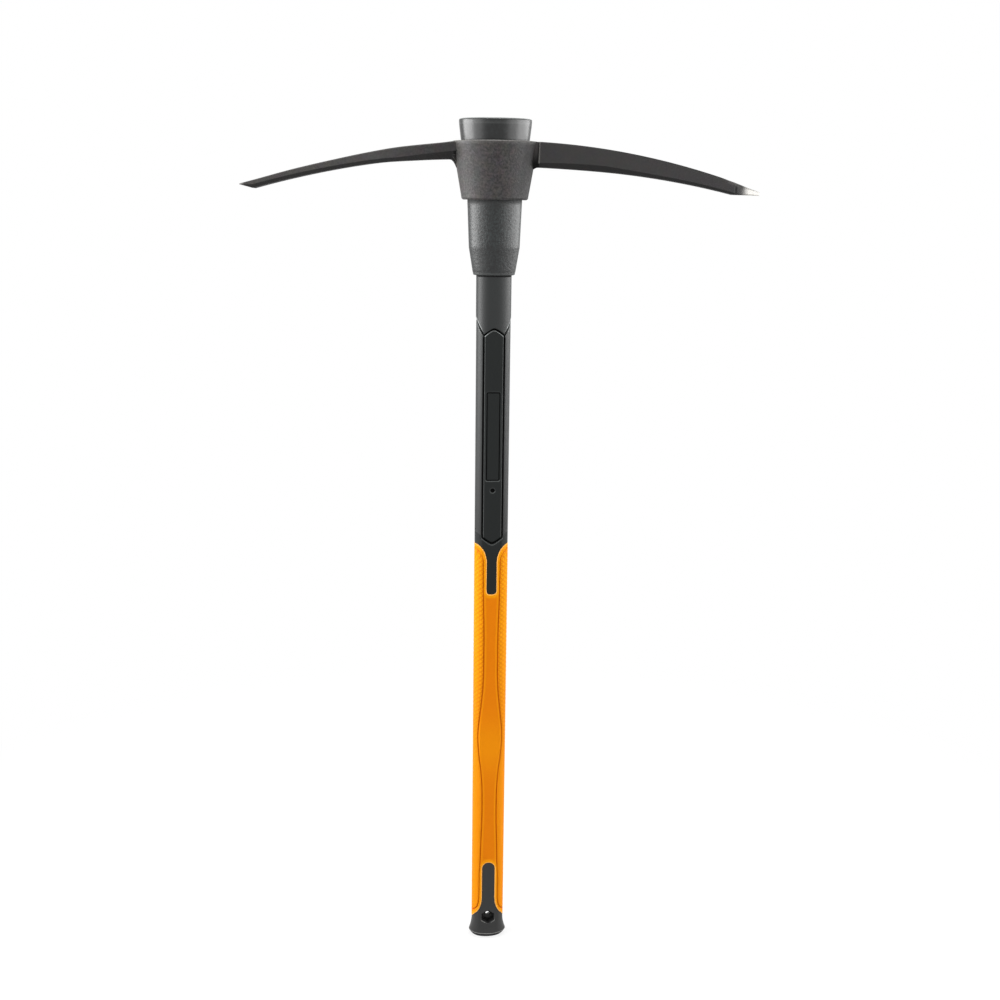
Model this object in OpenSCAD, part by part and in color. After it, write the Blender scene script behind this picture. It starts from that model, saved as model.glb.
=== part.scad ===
/* [Handle] */
// Length of the tool, from the flat end of the butt to the crown of the cap
tool_len = 900; // [800:5:1000]
// Width of the handle, measured along the arms of the head
handle_w = 35.6; // [33:0.1:37]
// Depth of the handle, front to back, where its section is a full oval
handle_d = 27; // [26:0.1:28]
// Depth across the flats on the front and the back of the handle
flat_d = 23.6; // [22.6:0.1:24.6]
// Step by which the panelled stretch lies below the plain neck
neck_relief = 0.35; // [0.2:0.05:0.6]
// Width of the fibreglass core
core_w = 24; // [20:0.5:25]
// Depth of the fibreglass core
core_d = 15; // [12:0.5:16]

/* [Steel head] */
// Height of the eye collar
collar_h = 56.5; // [48:0.5:64]
// Width of the collar at its upper edge
collar_top_w = 85.5; // [82:0.5:90]
// Width of the collar at its lower edge
collar_bottom_w = 67; // [63:0.5:70]
// Rounding of the collar's lower edge
collar_round = 2.5; // [1:0.1:3]
// Width of the eye at the collar's upper edge
eye_top_w = 69.2; // [64:0.1:70]
// Width of the eye at the collar's lower edge
eye_bottom_w = 55.8; // [52:0.1:57]
// Distance from the handle's axis to the roots of both arms
arm_root_x = 44; // [42:0.5:50]
// Distance from the axis to the chisel's cutting edge
chisel_reach = 249.6; // [200:0.1:280]
// Height of the chisel arm at its root
chisel_root_h = 16.8; // [14:0.1:20]
// Thickness of the chisel arm where its ground bevel starts
chisel_end_h = 7.8; // [6:0.1:10]
// Fall of the chisel arm's back from the root to the bevel
chisel_drop = 38.7; // [25:0.1:46]
// Width of the chisel arm at its root
chisel_root_w = 28; // [24:0.5:32]
// Width of the cutting edge
chisel_edge_w = 40; // [32:0.5:48]
// Length of the ground bevel under the cutting edge
bevel_len = 12.5; // [8:0.5:18]
// Distance from the axis to the tip of the point
tip_reach = 270; // [220:1:300]
// Height of the point arm at its root
point_root_h = 24.8; // [20:0.1:28]
// Height of the point arm where its ground tip starts
point_end_h = 13.2; // [10:0.1:16]
// Fall of the point arm's back from the root to the ground tip
point_drop = 35.7; // [25:0.1:45]
// Width of the point arm at its root
point_root_w = 30; // [26:0.5:32]
// Width of the point arm where its ground tip starts
point_end_w = 15; // [12:0.5:18]
// Length of the ground tip
tip_len = 27.5; // [20:0.5:36]

/* [Eye sleeve] */
// Height of the flared cap above the collar
cap_h = 21.5; // [16:0.5:28]
// Width of the sleeve where its end taper starts
sleeve_w = 51.4; // [48:0.1:53]
// Length of the sleeve between the collar and its end taper
sleeve_len = 47; // [35:0.5:60]
// Width of the sleeve's lip
lip_w = 42.5; // [40.5:0.1:44]
// Length of the taper down to the lip
lip_len = 27; // [20:0.5:35]
// Depth to which the jacket is seated in the sleeve
socket_depth = 12; // [8:0.5:18]
// Thickness of the bonding resin round the core
bond_t = 1.2; // [0.8:0.1:1.6]
// Clearance between the steel eye and the sleeve
seat_gap = 0.3; // [0.3:0.05:0.5]

/* [Panels] */
// Distance from the sleeve's lip down to the peak of the panels
panel_from_lip = 54.8; // [45:0.1:70]
// Length of a panel between its two points
panel_len = 223.8; // [200:0.1:240]
// Width of a panel
panel_w = 19.2; // [18:0.1:21]
// Height of the pointed end of a panel
panel_point_h = 6.3; // [4:0.1:10]
// Rounding of the points of a panel
panel_round = 2.8; // [1:0.1:5]
// Thickness of a panel
panel_t = 2.4; // [2:0.1:3]
// Width of the open seam round a panel
seam_w = 1.6; // [0.8:0.1:2]
// Length of the label recess in a panel
label_len = 93.2; // [70:0.1:110]
// Width of the label recess in a panel
label_w = 14.4; // [10:0.1:16]
// Distance from a panel's peak to the upper end of its label recess
label_from_top = 63.6; // [50:0.1:80]
// Diameter of the blind locating hole under the label recess
locator_d = 4.5; // [3:0.1:6]
// Distance from the label recess to the centre of the locating hole
locator_from_label = 10.4; // [8:0.1:14]

/* [Grip] */
// Height of the grip's lower edge above the butt, at the sides
grip_z = 23.8; // [22:0.1:28]
// Distance from the lower point of the panels down to the grip's upper edge, at the sides
panel_to_grip = 2.9; // [1:0.1:20]
// Amount by which each side of the grip stands proud of the handle
grip_proud = 0.1; // [0.1:0.05:0.4]
// Width of the tube that the grip is moulded round
tube_w = 29; // [28:0.1:30]
// Depth of the tube that the grip is moulded round
tube_d = 19; // [18.4:0.1:19.6]
// Width of the jacket's tongue in the top of the grip
upper_tongue_w = 10; // [8:0.1:12]
// Length of the jacket's tongue below the grip's upper edge
upper_tongue_len = 54.4; // [40:0.1:70]
// Width of the end cap's tongue in the bottom of the grip
lower_tongue_w = 14; // [11:0.1:15]
// Length of the end cap's tongue above the grip's lower edge
lower_tongue_len = 71.6; // [60:0.1:90]
// Width of the smooth centre strip at its waists
strip_w = 16.4; // [15:0.1:18]
// Width of the smooth centre strip at its belly
belly_w = 26.6; // [20:0.1:28]
// Height of the belly above the butt
belly_z = 248; // [225:1:270]
// Length over which the belly swells and shrinks
belly_len = 62; // [40:1:80]
// Width of the groove on each side of the centre strip
groove_w = 1; // [0.8:0.05:1.4]
// Depth of the grooves in the grip and the handle
groove_depth = 0.7; // [0.4:0.05:0.9]

/* [End cap] */
// Width of the flared butt
butt_w = 41.6; // [39:0.1:44]
// Depth of the flared butt
butt_d = 31; // [29:0.1:33]
// Height of the butt's widest line
butt_rim_z = 6.5; // [5:0.1:8]
// Height over which the butt flares out
flare_h = 17; // [14:0.5:18]
// Rounding of the butt's lower edge
butt_round = 5; // [3:0.1:5]
// Height of the hang hole's centre above the butt
hang_z = 27.3; // [26.5:0.1:28.5]
// Diameter of the hang hole
hang_d = 5.6; // [4.5:0.1:6.5]
// Thickness of the web that the hang hole is in
hang_web_t = 4; // [3:0.1:6]
// Width of the six-sided recess round the hang hole
recess_w = 13.4; // [11:0.1:14]
// Height of the six-sided recess round the hang hole
recess_h = 18.4; // [16:0.1:19]
// Depth of the socket that takes the lower end of the core
core_socket_depth = 12; // [8:0.5:16]

/* [Hidden] */
$fn = 96;

// Surplus length of every cut
over = 2;
// Clearance between pieces that are moulded or bonded together
bond_gap = 0.1;

// Points round an oval, and the power that makes it squarer than an ellipse
oval_steps = 72;
oval_power = 0.8;
// Steps of a small rounded edge, of a rounded corner, and of the swelling strip
edge_steps = 6;
corner_steps = 10;
strip_steps = 32;
// Depth of the collar and of the sleeve as shares of their widths
collar_depth_share = 0.78;
sleeve_depth_share = 0.75;

// Heights of the sleeve and the collar
cap_top_z = tool_len;
collar_top_z = cap_top_z - cap_h;
collar_z = collar_top_z - collar_h;
sleeve_z = collar_z - sleeve_len;
lip_z = sleeve_z - lip_len;
socket_z = lip_z + socket_depth;
// Rounded edge and crown of the cap
cap_round = 3;
cap_crown = 1.5;
// The sleeve's cone is the eye less its clearance, carried on up to the cap
cone_slope = (eye_top_w - eye_bottom_w) / 2 / collar_h;
cone_bottom_r = eye_bottom_w / 2 - seat_gap;
cap_r = cone_bottom_r + cone_slope * (collar_h + cap_h - cap_crown - cap_round);
core_end_from_top = 7;
core_top_z = cap_top_z - core_end_from_top;
plug_t = 3;

// Heights of the panels
panel_top_z = lip_z - panel_from_lip;
panel_bottom_z = panel_top_z - panel_len;
label_top_z = panel_top_z - label_from_top;
label_round = 1.5;
label_groove_w = 1.1;
label_groove_depth = 0.6;
locator_z = label_top_z - label_len - locator_from_label;
locator_depth = 1.4;
// Rise of the zigzag seam from a panel's shoulder to the side of the handle
zigzag_rise = 16.8;

// Heights of the grip and the end cap
grip_top_z = panel_bottom_z - panel_to_grip;
grip_w = handle_w + 2 * grip_proud;
grip_d = handle_d + 2 * grip_proud;
grip_flat_d = flat_d + 2 * grip_proud;
upper_tongue_z = grip_top_z - upper_tongue_len;
lower_tongue_z = grip_z + lower_tongue_len;
// Rounded corners of the grip beside its tongues, height above width
upper_corner_h = 20;
lower_corner_h = 27;
// Width of the smooth rim between a tongue and the groove round it
rim_w = 3.2;
flare_steps = 8;
core_socket_z = hang_z + recess_h / 2 + bond_t;
core_bottom_z = core_socket_z + bond_gap;
tube_bottom_z = core_socket_z + core_socket_depth;

// Arms: share of each edge's fall that is a straight slope, the rest being a bend
chisel_back_share = 0.42;
chisel_belly_share = 0.12;
point_back_share = 0.24;
point_belly_share = 0.13;
// Chamfered band along the lower edges of the arms, at the root and at the end
chisel_band_root_h = 0.8;
chisel_band_end_h = 3.8;
point_band_root_h = 8.6;
point_band_end_h = 2;
// Inset of the band's lower edge as a share of its height, and the narrowest edge it leaves
band_inset_share = 0.6;
ridge_w = 6;
// Largest shares of an arm's height that the band and the upper edge's bevel take
band_share = 0.8;
bevel_share = 0.25;
arm_edge = 0.9;
// Stations of an arm in its root and along its length
root_steps = 6;
arm_steps = 14;
// Webs that carry the arms' undersides down into the collar
web_len = 11;
chisel_web_h = 25;
point_web_h = 5;
web_power = 2.7;
// Swelling of the arms' sides into the collar
cheek_w = 5;
// Start of both arms inside the collar's wall, and the step down to their backs
arm_start_x = arm_root_x - web_len - over;
arm_relief = 0.4;
edge_h = 0.8;
// The point's end face
tip_w = 3;
tip_h = 2.6;
tip_rise = 0.6;

// Points of an oval section, long side along X
function oval(w, d) = [
    for (i = [0 : oval_steps - 1])
    let (a = 360 * i / oval_steps, c = cos(a), s = sin(a))
    [w / 2 * sign(c) * pow(abs(c), oval_power), d / 2 * sign(s) * pow(abs(s), oval_power)]
];

// Fall of an arm's edge at a share t of its length, straight slope first and bend after
function fall(t, straight_share) = straight_share * t + (1 - straight_share) * t * t;

function between(a, b, t) = a + (b - a) * t;

// Quarter of an ellipse as outline points, from angle a0 to a1
function corner(x, y, rx, ry, a0, a1, steps = corner_steps) = [
    for (i = [0 : steps])
    let (a = between(a0, a1, i / steps))
    [x + rx * cos(a), y + ry * sin(a)]
];

// Solid between closed rings of equal length, each seen turning left from the last ring's end
module loft(rings) {
    n = len(rings[0]);
    m = len(rings);
    polyhedron(
        points = [for (ring = rings) each ring],
        faces = [
            [for (i = [0 : n - 1]) i],
            [for (i = [n - 1 : -1 : 0]) (m - 1) * n + i],
            for (j = [0 : m - 2], i = [0 : n - 1])
            let (a = j * n + i, b = j * n + (i + 1) % n)
            each [[a, a + n, b + n], [a, b + n, b]]
        ]
    );
}

// Straight bar of oval section between two heights
module oval_bar(w, d, z0, z1) {
    translate([0, 0, z0]) linear_extrude(z1 - z0) polygon(oval(w, d));
}

// Oval bar with flats on its front and back
module flatted_bar(w, d, flat, z0, z1) {
    translate([0, 0, z0]) linear_extrude(z1 - z0) intersection() {
        polygon(oval(w, d));
        square([w + over, flat], center = true);
    }
}

// Profile turned round the axis in four quarters and flattened to an oval
module oval_turn(depth_share) {
    for (x = [0, 1], y = [0, 1])
        mirror([x, 0, 0]) mirror([0, y, 0]) scale([1, depth_share, 1]) rotate_extrude(angle = 90) children();
}

// Front outline carried through the whole depth of the tool
module through(depth) {
    rotate([90, 0, 0]) linear_extrude(depth, center = true) children();
}

// Section of an arm at x: height span, half width, and its chamfered lower band
function arm_ring(x, top, bottom, half_w, band_h) =
    let (
        edge = min(arm_edge, (top - bottom) * bevel_share),
        band = min(band_h, (top - bottom) * band_share),
        low_w = max(half_w - band * band_inset_share, min(half_w, ridge_w) / 2)
    ) [
        [x, half_w, bottom + band], [x, half_w, top - edge],
        [x, half_w - edge, top], [x, edge - half_w, top],
        [x, -half_w, top - edge], [x, -half_w, bottom + band],
        [x, -low_w, bottom], [x, low_w, bottom]
    ];

// Stations of an arm from inside the collar to the start of its ground end
function arm_body(end_x, root_h, end_h, drop, back_share, belly_share, root_w, end_w, band0, band1, web_h) =
    let (top0 = collar_top_z - arm_relief, belly = drop + end_h - root_h) [
        for (i = [-root_steps : arm_steps])
        let (
            x = i < 0 ? arm_root_x + i * (arm_root_x - arm_start_x) / root_steps
                : between(arm_root_x, end_x, i / arm_steps),
            t = max(i, 0) / arm_steps,
            u = min(max((arm_root_x + over - x) / (web_len + over), 0), 1),
            web = web_h * pow(u, web_power),
            half_w = between(root_w, end_w, t) / 2 + cheek_w * u * u
        )
        arm_ring(
            x,
            top0 - drop * fall(t, back_share),
            top0 - root_h - belly * fall(t, belly_share) - web,
            half_w,
            between(band0, band1, t) + web
        )
    ];

// Chisel arm, drawn towards +X: ends in a bevel ground on its underside
module chisel_arm() {
    end_x = chisel_reach - bevel_len;
    edge_t = (chisel_reach - arm_root_x) / (end_x - arm_root_x);
    edge_z = collar_top_z - arm_relief - chisel_drop * fall(edge_t, chisel_back_share);
    loft(concat(
        arm_body(
            end_x, chisel_root_h, chisel_end_h, chisel_drop, chisel_back_share, chisel_belly_share,
            chisel_root_w, chisel_edge_w, chisel_band_root_h, chisel_band_end_h, chisel_web_h
        ),
        [arm_ring(chisel_reach, edge_z, edge_z - edge_h, chisel_edge_w / 2, edge_h * bevel_share)]
    ));
}

// Point arm: ends in a four-sided ground tip close to the arm's underside
module point_arm() {
    end_x = tip_reach - tip_len;
    low_z = collar_top_z - arm_relief - point_drop - point_end_h;
    loft(concat(
        arm_body(
            end_x, point_root_h, point_end_h, point_drop, point_back_share, point_belly_share,
            point_root_w, point_end_w, point_band_root_h, point_band_end_h, point_web_h
        ),
        [arm_ring(tip_reach, low_z - tip_rise + tip_h, low_z - tip_rise, tip_w / 2, tip_h * bevel_share)]
    ));
}

// Outside of the eye collar, an oval cone with a rounded lower edge
module collar() {
    bottom_r = collar_bottom_w / 2;
    top_r = collar_top_w / 2;
    oval_turn(collar_depth_share) polygon(concat(
        [[0, collar_z]],
        corner(
            bottom_r - collar_round, collar_z + collar_round, collar_round, collar_round,
            -90, 0, edge_steps
        ),
        [[top_r, collar_top_z - arm_edge], [top_r - arm_edge, collar_top_z], [0, collar_top_z]]
    ));
}

// Inside of the eye, carried past both edges of the collar at the same slope
module eye() {
    low_r = eye_bottom_w / 2 - cone_slope * over;
    high_r = eye_top_w / 2 + cone_slope * over;
    low = collar_z - over;
    high = collar_top_z + over;
    oval_turn(sleeve_depth_share) polygon([[0, low], [low_r, low], [high_r, high], [0, high]]);
}

// Forged steel head: collar, chisel arm and point arm in one piece
module pick_head() {
    color("dimgray") difference() {
        union() {
            collar();
            mirror([1, 0, 0]) chisel_arm();
            point_arm();
        }
        eye();
    }
}

// Moulded sleeve that fills the eye: flared cap, cone, straight stretch and tapered lip
module eye_sleeve() {
    color([0.16, 0.17, 0.17]) difference() {
        oval_turn(sleeve_depth_share) polygon(concat(
            [[0, lip_z], [lip_w / 2, lip_z], [sleeve_w / 2, sleeve_z], [cone_bottom_r, collar_z]],
            corner(
                cap_r - cap_round, cap_top_z - cap_crown - cap_round, cap_round, cap_round,
                0, 90, edge_steps
            ),
            [[0, cap_top_z]]
        ));
        union() {
            oval_bar(handle_w + 2 * bond_gap, handle_d + 2 * bond_gap, lip_z - over, socket_z + bond_gap);
            oval_bar(
                core_w + 2 * (bond_t + bond_gap), core_d + 2 * (bond_t + bond_gap),
                socket_z, core_top_z + plug_t + bond_gap
            );
        }
    }
}

// Cured resin between the core and the sleeve, closed over the core's upper end
module bond_resin() {
    color([0.85, 0.72, 0.4]) difference() {
        oval_bar(core_w + 2 * bond_t, core_d + 2 * bond_t, socket_z + bond_gap, core_top_z + plug_t);
        oval_bar(core_w + 2 * bond_gap, core_d + 2 * bond_gap, socket_z - over, core_top_z + bond_gap);
    }
}

// Pultruded fibreglass bar from the end cap's socket to the top of the sleeve
module fibreglass_core() {
    color([0.9, 0.82, 0.55]) oval_bar(core_w, core_d, core_bottom_z, core_top_z);
}

// Front outline of a panel, grown outwards by a margin, its points rounded
module panel_outline(margin) {
    w = panel_w / 2 + margin;
    low = panel_bottom_z + panel_point_h - margin;
    high = panel_top_z - panel_point_h + margin;
    r = panel_round + margin;
    slant = atan(2 * panel_point_h / panel_w);
    polygon(concat(
        [[w, low], [w, high]],
        corner(0, panel_top_z - panel_round, r, r, 90 - slant, 90 + slant, edge_steps),
        [[-w, high], [-w, low]],
        corner(0, panel_bottom_z + panel_round, r, r, 270 - slant, 270 + slant, edge_steps)
    ));
}

// Front outline of a rounded slot ring, used for the groove of a label recess
module label_outline(margin) {
    w = label_w / 2 - label_round;
    low = label_top_z - label_len + label_round;
    high = label_top_z - label_round;
    r = label_round + margin;
    polygon(concat(
        corner(w, high, r, r, 0, 90, edge_steps), corner(-w, high, r, r, 90, 180, edge_steps),
        corner(-w, low, r, r, 180, 270, edge_steps), corner(w, low, r, r, 270, 360, edge_steps)
    ));
}

// Everything above the zigzag seam under the neck, grown downwards by a margin
module neck_outline(margin) {
    w = handle_w;
    low = panel_top_z - panel_point_h - margin;
    side = low + zigzag_rise * (w - panel_w / 2) / (handle_w / 2 - panel_w / 2);
    polygon([
        [0, panel_top_z - margin], [panel_w / 2, low], [w, side],
        [w, cap_top_z], [-w, cap_top_z], [-w, side], [-panel_w / 2, low]
    ]);
}

// Everything above the lower point of the panels, where the flanks are a full oval
module flank_outline() {
    w = handle_w;
    side = panel_bottom_z + panel_point_h * w / (panel_w / 2);
    polygon([[0, panel_bottom_z], [w, side], [w, cap_top_z], [-w, cap_top_z], [-w, side]]);
}

// Black area above the grip, with its tongue: the grip's corners beside it are rounded
module upper_outline(margin) {
    w = upper_tongue_w / 2 - margin;
    side = handle_w;
    rx = handle_w / 2 - w;
    low = upper_tongue_z + margin;
    z = grip_top_z + margin;
    polygon(concat(
        [[side, cap_top_z], [-side, cap_top_z], [-side, z]],
        corner(-handle_w / 2, z - upper_corner_h, rx, upper_corner_h, 90, 0),
        corner(0, low + w, w, w, 180, 360),
        corner(handle_w / 2, z - upper_corner_h, rx, upper_corner_h, 180, 90),
        [[side, z]]
    ));
}

// Black area below the grip, with its tongue
module lower_outline(margin) {
    w = lower_tongue_w / 2 - margin;
    side = butt_w;
    rx = handle_w / 2 - w;
    high = lower_tongue_z - margin;
    z = grip_z - margin;
    polygon(concat(
        [[-side, 0], [side, 0], [side, z]],
        corner(handle_w / 2, z + lower_corner_h, rx, lower_corner_h, 270, 180),
        corner(0, high - w, w, w, 0, 180),
        corner(-handle_w / 2, z + lower_corner_h, rx, lower_corner_h, 360, 270),
        [[-side, z]]
    ));
}

// Half width of the smooth centre strip at height z, swelling to its belly
function strip_half(z) =
    (strip_w + (belly_w - strip_w) * exp(-pow((z - belly_z) / belly_len * 2, 2))) / 2;

// Outline of the smooth strip and of the rims round both tongues, grown by a margin
module strip_outline(margin) {
    heights = [for (i = [0 : strip_steps]) between(lower_tongue_z, upper_tongue_z, i / strip_steps)];
    polygon(concat(
        [for (z = heights) [strip_half(z) + margin, z]],
        [for (i = [strip_steps : -1 : 0]) [-strip_half(heights[i]) - margin, heights[i]]]
    ));
    upper_outline(-rim_w - margin);
    lower_outline(-rim_w - margin);
}

// Moulded jacket: neck, panelled stretch with its pockets, tongue, and the tube under the grip
module handle_jacket() {
    low_w = handle_w - 2 * neck_relief;
    low_d = handle_d - 2 * neck_relief;
    bed_d = flat_d - 2 * panel_t;
    color([0.19, 0.2, 0.2]) difference() {
        union() {
            intersection() {
                oval_bar(handle_w, handle_d, panel_bottom_z, socket_z);
                through(handle_d + over) neck_outline(0);
            }
            intersection() {
                oval_bar(low_w, low_d, panel_bottom_z, panel_top_z + over);
                through(handle_d + over) flank_outline();
            }
            intersection() {
                flatted_bar(low_w, low_d, flat_d, upper_tongue_z, panel_top_z);
                through(handle_d + over) upper_outline(0);
            }
            oval_bar(tube_w, tube_d, tube_bottom_z + bond_gap, panel_bottom_z);
        }
        oval_bar(core_w + 2 * bond_gap, core_d + 2 * bond_gap, tube_bottom_z - over, socket_z + over);
        for (side = [-1, 1])
            translate([0, side * (bed_d + handle_d) / 2, 0]) through(handle_d) panel_outline(seam_w);
        difference() {
            through(handle_d + over) difference() {
                neck_outline(groove_w / 2);
                neck_outline(-groove_w / 2);
            }
            oval_bar(low_w - 2 * groove_depth, low_d - 2 * groove_depth, panel_bottom_z, socket_z + over);
        }
    }
}

// Inlaid panel on the front: flat, pointed at both ends, with a label recess and a locating hole
module panel() {
    translate([0, -flat_d / 2 + panel_t, 0]) rotate([90, 0, 0]) difference() {
        linear_extrude(panel_t) panel_outline(0);
        translate([0, 0, panel_t - label_groove_depth]) linear_extrude(over) difference() {
            label_outline(0);
            label_outline(-label_groove_w);
        }
        translate([0, locator_z, panel_t - locator_depth]) cylinder(h = over, d = locator_d);
    }
}

module front_panel() {
    color([0.16, 0.17, 0.17]) panel();
}

module back_panel() {
    color([0.16, 0.17, 0.17]) mirror([0, 1, 0]) panel();
}

// Soft grip moulded round the tube, open at both ends for the black tongues
module grip() {
    color([0.95, 0.55, 0.05]) difference() {
        union() {
            difference() {
                oval_bar(grip_w, grip_d, grip_z, grip_top_z);
                through(grip_d + over) strip_outline(0);
            }
            intersection() {
                flatted_bar(grip_w, grip_d, grip_flat_d, grip_z, grip_top_z);
                through(grip_d + over) strip_outline(over);
            }
        }
        oval_bar(tube_w + 2 * bond_gap, tube_d + 2 * bond_gap, 0, cap_top_z);
        through(grip_d + over) upper_outline(-bond_gap);
        through(grip_d + over) lower_outline(-bond_gap);
        difference() {
            through(grip_d + over) difference() {
                strip_outline(groove_w / 2);
                strip_outline(-groove_w / 2);
            }
            flatted_bar(
                grip_w - 2 * groove_depth, grip_d - 2 * groove_depth, grip_flat_d - 2 * groove_depth,
                grip_z - over, grip_top_z + over
            );
        }
    }
}

// Section of the butt at height z: an oval with flats on its front and back
function butt_ring(z, w, d, flat) = [for (p = oval(w, d)) [p[0], max(-flat, min(flat, 2 * p[1])) / 2, z]];

// Flared butt: rounded lower edge, widest line, and a sweep in to the flatted handle
module butt() {
    loft(concat(
        [
            for (i = [0 : edge_steps])
            let (
                a = 90 * (i / edge_steps - 1),
                in = 2 * butt_round * (1 - cos(a)),
                z = butt_rim_z * (1 + sin(a))
            )
            butt_ring(z, butt_w - in, butt_d - in, butt_d - in)
        ],
        [
            for (i = [1 : flare_steps])
            let (t = i / flare_steps, out = pow(1 - t, 2) * (1 + 2 * t))
            butt_ring(
                butt_rim_z + flare_h * t,
                between(handle_w, butt_w, out), between(handle_d, butt_d, out), between(flat_d, butt_d, out)
            )
        ]
    ));
}

// Front outline of the six-sided recess round the hang hole
module recess_outline() {
    w = recess_w / 2;
    h = recess_h / 2;
    point = w / sqrt(3);
    translate([0, hang_z]) polygon([
        [0, -h], [w, point - h], [w, h - point], [0, h], [-w, h - point], [-w, point - h]
    ]);
}

// Moulded end cap: flared butt, tongues up both faces, core socket and hang hole
module end_cap() {
    color([0.22, 0.22, 0.22]) difference() {
        union() {
            butt();
            intersection() {
                flatted_bar(handle_w, handle_d, flat_d, butt_rim_z, lower_tongue_z);
                through(handle_d + over) lower_outline(0);
            }
            oval_bar(tube_w, tube_d, butt_rim_z, tube_bottom_z);
        }
        oval_bar(core_w + 2 * bond_gap, core_d + 2 * bond_gap, core_socket_z, tube_bottom_z + over);
        oval_bar(tube_w + 2 * bond_gap, tube_d + 2 * bond_gap, tube_bottom_z, lower_tongue_z + over);
        for (side = [-1, 1])
            translate([0, side * (hang_web_t + butt_d) / 2, 0]) through(butt_d) recess_outline();
        translate([0, 0, hang_z]) rotate([90, 0, 0]) cylinder(h = butt_d, d = hang_d, center = true);
    }
}

pick_head();
eye_sleeve();
bond_resin();
fibreglass_core();
handle_jacket();
front_panel();
back_panel();
grip();
end_cap();
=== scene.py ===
import math

import bpy
import numpy as np

from mathutils import Matrix


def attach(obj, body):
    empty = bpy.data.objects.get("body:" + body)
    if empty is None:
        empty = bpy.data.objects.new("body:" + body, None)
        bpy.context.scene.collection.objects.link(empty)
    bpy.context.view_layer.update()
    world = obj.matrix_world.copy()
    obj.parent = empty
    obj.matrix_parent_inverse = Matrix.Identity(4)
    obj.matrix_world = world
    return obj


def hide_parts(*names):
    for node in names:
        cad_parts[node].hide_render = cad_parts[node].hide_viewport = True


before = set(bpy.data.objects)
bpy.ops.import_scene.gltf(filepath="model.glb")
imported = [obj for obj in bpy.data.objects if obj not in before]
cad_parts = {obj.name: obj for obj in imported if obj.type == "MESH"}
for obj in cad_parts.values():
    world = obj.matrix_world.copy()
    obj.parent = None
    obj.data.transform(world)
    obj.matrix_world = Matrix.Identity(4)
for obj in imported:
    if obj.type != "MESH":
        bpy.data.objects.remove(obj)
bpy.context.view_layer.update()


# Fibreglass core: a pultruded oval bar, glass rovings drawn through polyester resin. It carries the whole
# tool from the butt to the cap and is hidden by the mouldings round it.

def linear(code):
    """Linear red, green, blue and alpha of an sRGB hex colour: each channel goes through the sRGB curve."""
    s = np.array([int(code[i:i + 2], 16) for i in (1, 3, 5)]) / 255
    return (*np.where(s <= 0.04045, s / 12.92, ((s + 0.055) / 1.055) ** 2.4), 1.0)


def fit(tree, node, settings, links):
    """Sets up a node: settings go to its properties or else to its sockets, links to its inputs."""
    for key, value in dict(settings).items():
        if isinstance(key, str) and hasattr(node, key):
            setattr(node, key, value)
        else:
            node.inputs[key].default_value = value
    for key, source in dict(links).items():
        tree.links.new(source, node.inputs[key])
    return node


def add(tree, kind, settings=(), links=()):
    """Adds a shader node of one kind, with its settings and links."""
    return fit(tree, tree.nodes.new("ShaderNode" + kind), settings, links)


def new_finish(name):
    """A new material whose node tree holds one Principled shader and the output."""
    finish = bpy.data.materials.new(name)
    finish.use_nodes = True
    tree = finish.node_tree
    tree.nodes.clear()
    shader = add(tree, "BsdfPrincipled")
    add(tree, "OutputMaterial", links={"Surface": shader.outputs[0]})
    return finish, tree, shader


def dress(node, finish):
    """Gives a carried-over solid one finish in place of its own."""
    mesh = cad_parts[node].data
    mesh.materials.clear()
    mesh.materials.append(finish)


# Pultruded fibreglass: straw-coloured resin with pale strands about 1.5 mm apart along its length
fibreglass, tree, shader = new_finish("fibreglass_pultruded")
place = add(tree, "TexCoord")
strands = add(tree, "Mapping", {"Scale": (667, 667, 12)}, {"Vector": place.outputs["Object"]})
fibre = add(tree, "TexNoise", {"Scale": 1, "Detail": 3}, {"Vector": strands.outputs[0]})
straw = add(
    tree, "Mix", {"data_type": "RGBA", 6: linear("#b39a5c"), 7: linear("#e6d7a3")},
    {0: fibre.outputs["Fac"]},
)
ridges = add(tree, "Bump", {"Strength": 0.4, "Distance": 0.0003}, {"Height": fibre.outputs["Fac"]})
fit(
    tree, shader, {"Roughness": 0.42, "IOR": 1.55},
    {"Base Color": straw.outputs[2], "Normal": ridges.outputs[0]},
)
dress("fibreglass_core", fibreglass)


# Bonding resin: epoxy poured between the core and the sleeve, cured in place. It fills the annular gap and
# closes over the core's upper end.

def grained(tree, noise, dark, light):
    """A noise on the piece's own coordinates, and the mix that it makes of a dark and a light colour."""
    place = add(tree, "TexCoord")
    grain = add(tree, "TexNoise", noise, {"Vector": place.outputs["Object"]})
    colour = add(
        tree, "Mix", {"data_type": "RGBA", 6: linear(dark), 7: linear(light)},
        {0: grain.outputs["Fac"]},
    )
    return grain.outputs["Fac"], colour.outputs[2]


# Cured epoxy: amber, glossy, with faint cloudiness about 6 mm across
epoxy, tree, shader = new_finish("epoxy_cured")
_, amber = grained(tree, {"Scale": 167, "Detail": 2}, "#a97a2c", "#cfa24a")
fit(tree, shader, {"Roughness": 0.12, "IOR": 1.55}, {"Base Color": amber})
dress("bond_resin", epoxy)


# Jacket: black polypropylene moulded round the core. A plain oval neck ends in a zigzag groove; below it
# the flanks hold a pocket for a panel on each face, and a tongue runs down into the grip on each face.

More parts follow.
